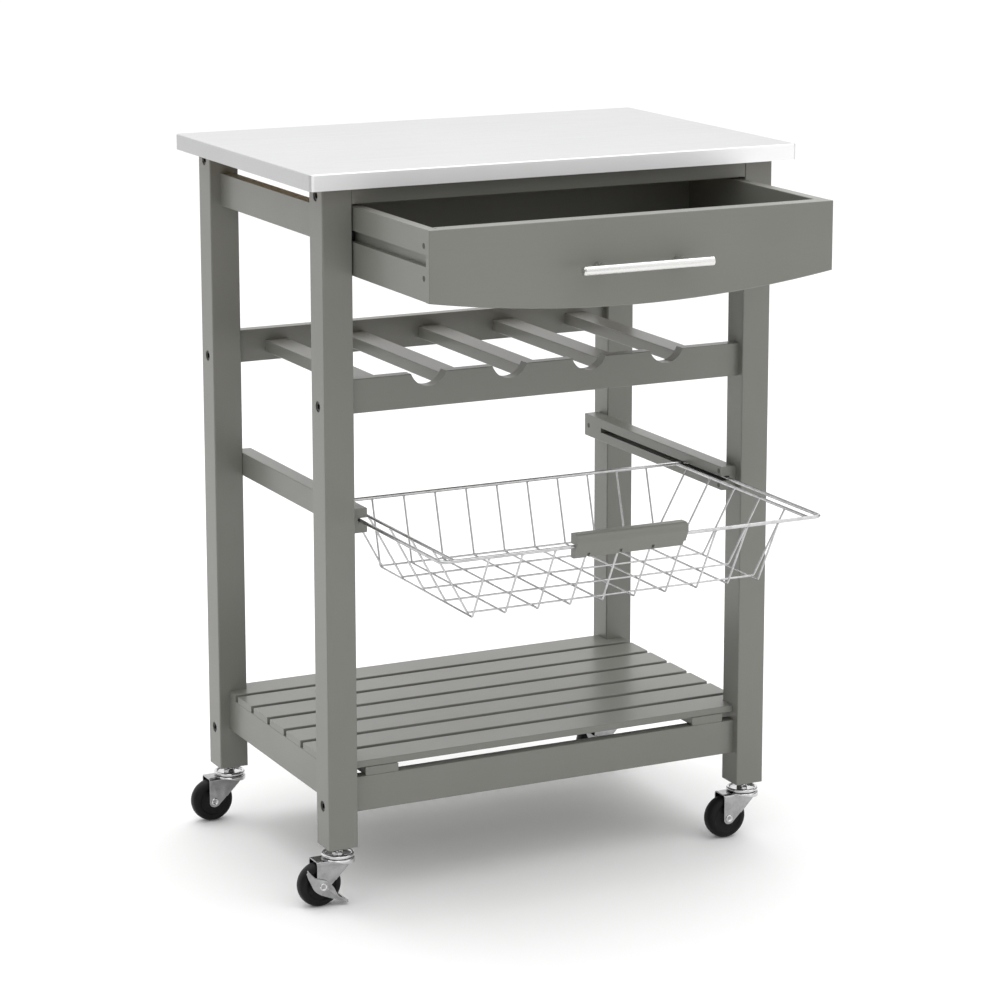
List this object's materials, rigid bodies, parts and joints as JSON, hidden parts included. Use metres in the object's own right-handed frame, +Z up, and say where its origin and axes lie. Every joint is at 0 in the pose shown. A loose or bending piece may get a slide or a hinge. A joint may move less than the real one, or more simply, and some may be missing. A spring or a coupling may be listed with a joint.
{
  "type": "rolling pantry cart",
  "caption": "Rolling kitchen pantry cart with a steel worktop, bow-front drawer, bottle rack, wire basket, slatted shelf and swivel casters.",
  "frame": {"origin": "on the floor at the middle of the whole cart's footprint, with the drawer and the basket pulled out", "axes": "+X to the right seen from the front, +Y from the front to the back, +Z up"},
  "size_m": [0.6072, 0.604, 0.824],
  "materials": {
    "painted_wood": "satin paint",
    "core_board": "raw board",
    "worktop_steel": "brushed",
    "runner_plastic": "matte",
    "dark_steel": "blackened",
    "raw_wood": "raw",
    "chrome": "bright zinc",
    "dark_board": "dark laminate",
    "handle_steel": "satin nickel",
    "basket_wire": "plated wire",
    "wheel_rubber": "smooth"
  },
  "bodies": {
    "root": {"leg_front_left": "painted_wood", "leg_front_right": "painted_wood", "leg_back_left": "painted_wood", "leg_back_right": "painted_wood", "worktop_core": "core_board", "worktop_steel": "worktop_steel", "upper_rail_left": "painted_wood", "shelf_rail_left": "painted_wood", "shelf_batten_left": "painted_wood", "basket_rail_left": "painted_wood", "drawer_runner_left": "runner_plastic", "upper_rail_right": "painted_wood", "shelf_rail_right": "painted_wood", "shelf_batten_right": "painted_wood", "basket_rail_right": "painted_wood", "drawer_runner_right": "runner_plastic", "top_rail_front": "painted_wood", "shelf_rail_front": "painted_wood", "rack_rail_front": "painted_wood", "top_rail_back": "painted_wood", "shelf_rail_back": "painted_wood", "rack_rail_back": "painted_wood", "rack_slat_1": "painted_wood", "rack_slat_2": "painted_wood", "rack_slat_3": "painted_wood", "rack_slat_4": "painted_wood", "rack_slat_5": "painted_wood", "shelf_slat_1": "painted_wood", "shelf_slat_2": "painted_wood", "shelf_slat_3": "painted_wood", "shelf_slat_4": "painted_wood", "shelf_slat_5": "painted_wood", "shelf_slat_6": "painted_wood", "shelf_slat_7": "painted_wood", "frame_bolts": "dark_steel", "dowels": "raw_wood", "wood_screws": "dark_steel", "caster_stems": "chrome"},
    "drawer": {"drawer_front": "painted_wood", "drawer_side_left": "painted_wood", "drawer_side_right": "painted_wood", "drawer_back": "painted_wood", "drawer_bottom": "dark_board", "drawer_screws": "dark_steel", "handle_bar": "handle_steel", "handle_posts": "handle_steel"},
    "basket": {"basket_frame": "basket_wire", "basket_wires_long": "basket_wire", "basket_wires_cross": "basket_wire", "basket_grip": "painted_wood"},
    "caster_front_left": {"caster_fork_front_left": "chrome"},
    "wheel_front_left": {"caster_wheel_front_left": "wheel_rubber"},
    "brake_front_left": {"brake_lever_front_left": "chrome"},
    "caster_front_right": {"caster_fork_front_right": "chrome"},
    "wheel_front_right": {"caster_wheel_front_right": "wheel_rubber"},
    "caster_back_left": {"caster_fork_back_left": "chrome"},
    "wheel_back_left": {"caster_wheel_back_left": "wheel_rubber"},
    "caster_back_right": {"caster_fork_back_right": "chrome"},
    "wheel_back_right": {"caster_wheel_back_right": "wheel_rubber"},
    "brake_back_right": {"brake_lever_back_right": "chrome"}
  },
  "joints": [
    {"name": "drawer_slide", "type": "slide", "parent": "root", "child": "drawer", "axis": [0, -1, 0], "range_m": [-0.1905, 0.04]},
    {"name": "basket_slide", "type": "slide", "parent": "root", "child": "basket", "axis": [0, -1, 0], "range_m": [-0.2, 0.04]},
    {"name": "swivel_front_left", "type": "hinge", "parent": "root", "child": "caster_front_left", "pos_m": [-0.25485, -0.0615, 0.0546], "axis": [0, 0, 1], "continuous": true},
    {"name": "wheel_front_left", "type": "hinge", "parent": "caster_front_left", "child": "wheel_front_left", "pos_m": [-0.27825, -0.0615, 0.0254], "axis": [0, 1, 0], "continuous": true},
    {"name": "brake_front_left", "type": "hinge", "parent": "caster_front_left", "child": "brake_front_left", "pos_m": [-0.27825, -0.0615, 0.0254], "axis": [0, -1, 0], "range_deg": [0, 25]},
    {"name": "swivel_front_right", "type": "hinge", "parent": "root", "child": "caster_front_right", "pos_m": [0.26515, -0.0615, 0.0546], "axis": [0, 0, 1], "continuous": true},
    {"name": "wheel_front_right", "type": "hinge", "parent": "caster_front_right", "child": "wheel_front_right", "pos_m": [0.24175, -0.0615, 0.0254], "axis": [0, 1, 0], "continuous": true},
    {"name": "swivel_back_left", "type": "hinge", "parent": "root", "child": "caster_back_left", "pos_m": [-0.25485, 0.2655, 0.0546], "axis": [0, 0, 1], "continuous": true},
    {"name": "wheel_back_left", "type": "hinge", "parent": "caster_back_left", "child": "wheel_back_left", "pos_m": [-0.27825, 0.2655, 0.0254], "axis": [0, 1, 0], "continuous": true},
    {"name": "swivel_back_right", "type": "hinge", "parent": "root", "child": "caster_back_right", "pos_m": [0.26515, 0.2655, 0.0546], "axis": [0, 0, 1], "continuous": true},
    {"name": "wheel_back_right", "type": "hinge", "parent": "caster_back_right", "child": "wheel_back_right", "pos_m": [0.24175, 0.2655, 0.0254], "axis": [0, 1, 0], "continuous": true},
    {"name": "brake_back_right", "type": "hinge", "parent": "caster_back_right", "child": "brake_back_right", "pos_m": [0.24175, 0.2655, 0.0254], "axis": [0, -1, 0], "range_deg": [0, 25]}
  ]
}
